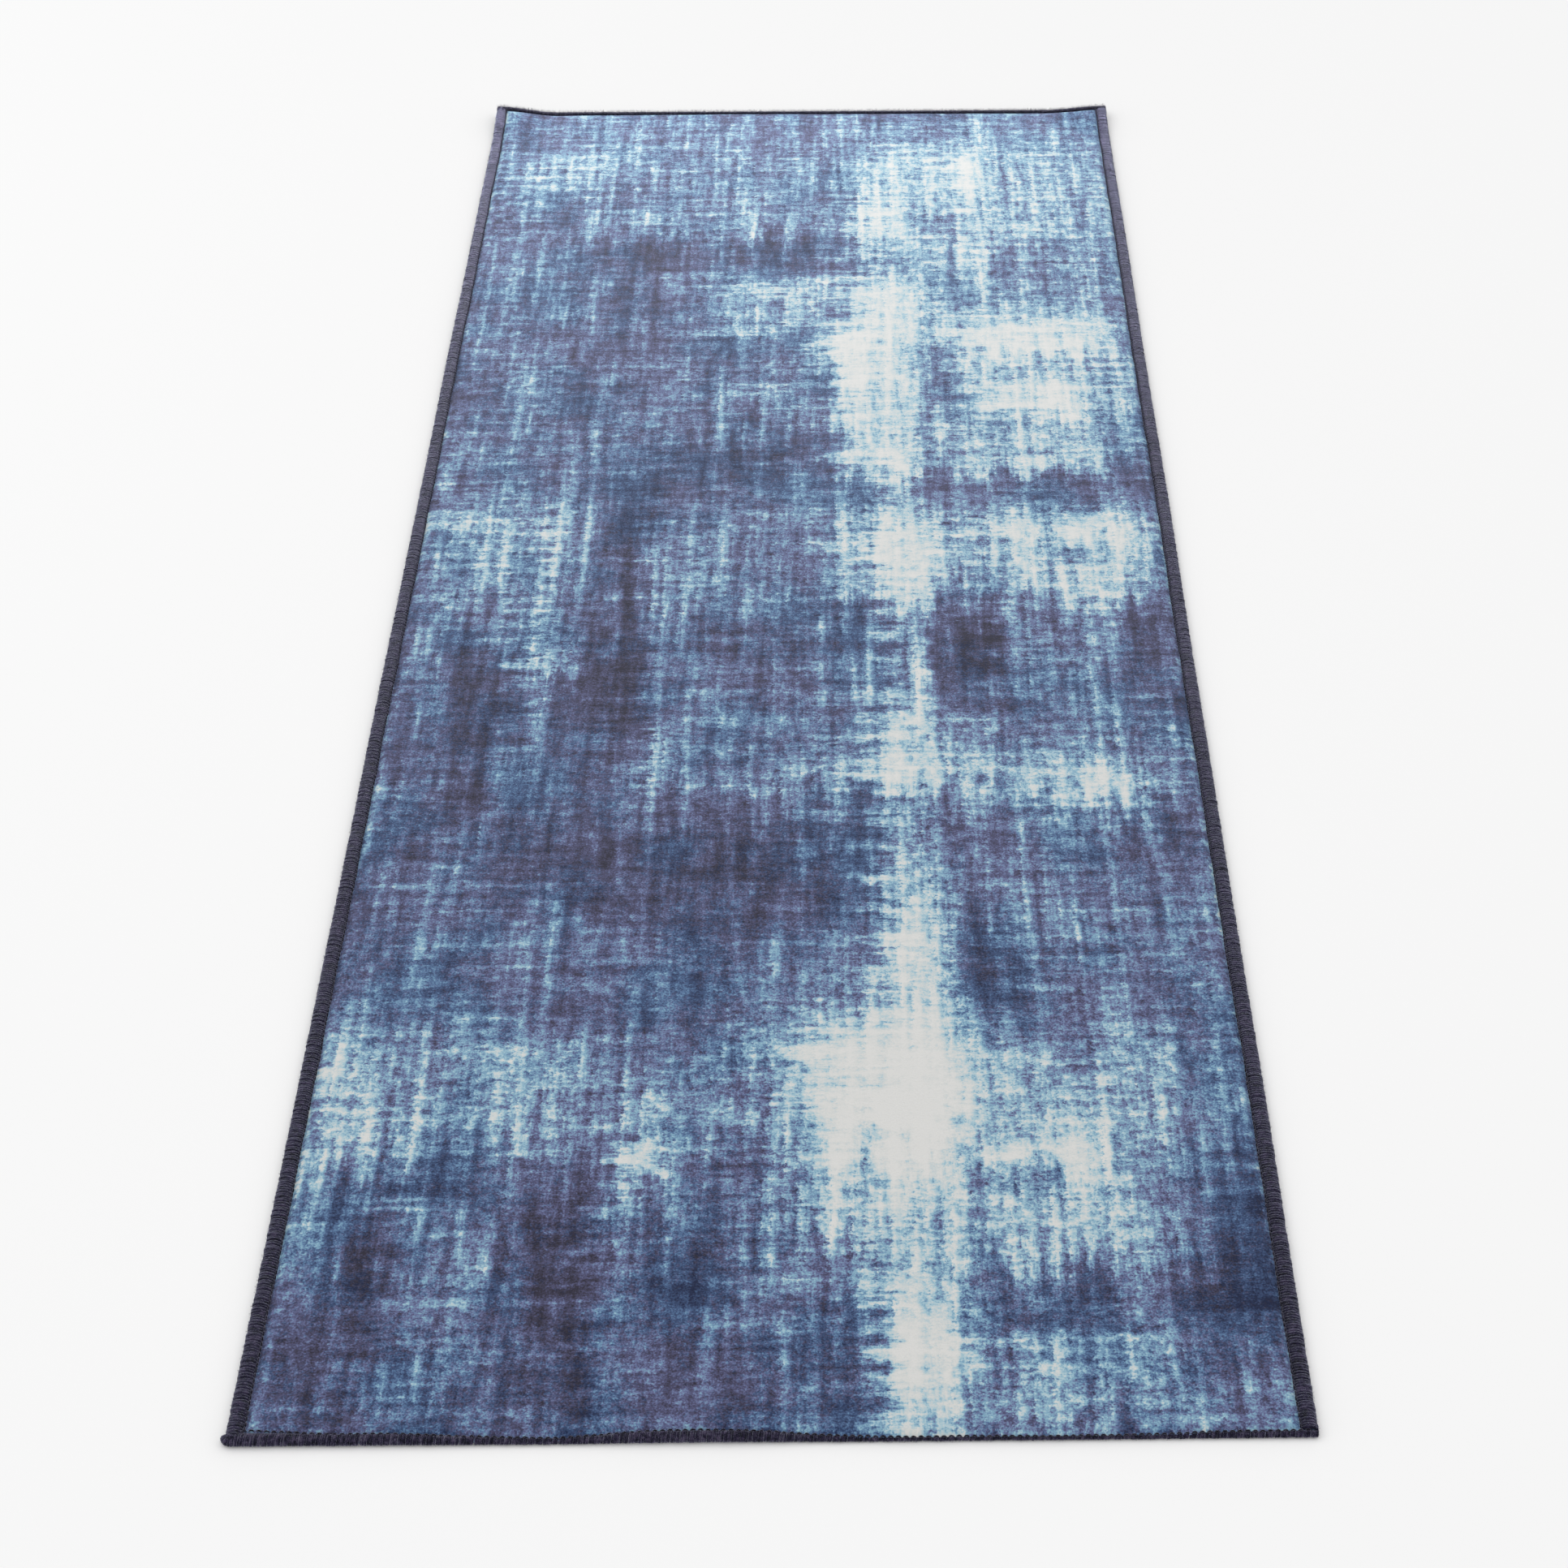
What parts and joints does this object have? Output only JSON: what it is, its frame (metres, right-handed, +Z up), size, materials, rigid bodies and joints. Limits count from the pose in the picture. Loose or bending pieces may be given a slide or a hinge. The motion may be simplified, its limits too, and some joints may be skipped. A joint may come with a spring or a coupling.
{
  "type": "runner rug",
  "caption": "Long narrow floor runner with a printed short pile, a non-slip backing and overlocked yarn edges, lying flat.",
  "frame": {"origin": "centre of the underside, on the floor plane", "axes": "+Z up through the pile; +Y along the rug's length, from its near end to its far end; +X across the rug, towards its right side"},
  "size_m": [0.61, 1.829, 0.0054],
  "materials": {
    "printed_pile": "short cut pile with an abstract distressed print in indigo, pale blue, charcoal and off-white",
    "ground_cloth": "plain woven ground cloth, seen only at a cut edge",
    "latex_backing": "matte pale latex with a moulded non-slip grain",
    "edging_yarn": "dense overlocked yarn, dark navy to charcoal, slightly fuzzy",
    "needle_thread": "fine twisted sewing thread, near black"
  },
  "bodies": {
    "root": {"printed_pile": "printed_pile", "ground_cloth": "ground_cloth", "non_slip_backing": "latex_backing", "left_edging": "edging_yarn", "right_edging": "edging_yarn", "near_end_edging": "edging_yarn", "far_end_edging": "edging_yarn", "left_needle_thread": "needle_thread", "right_needle_thread": "needle_thread", "near_end_needle_thread": "needle_thread", "far_end_needle_thread": "needle_thread"}
  },
  "joints": []
}
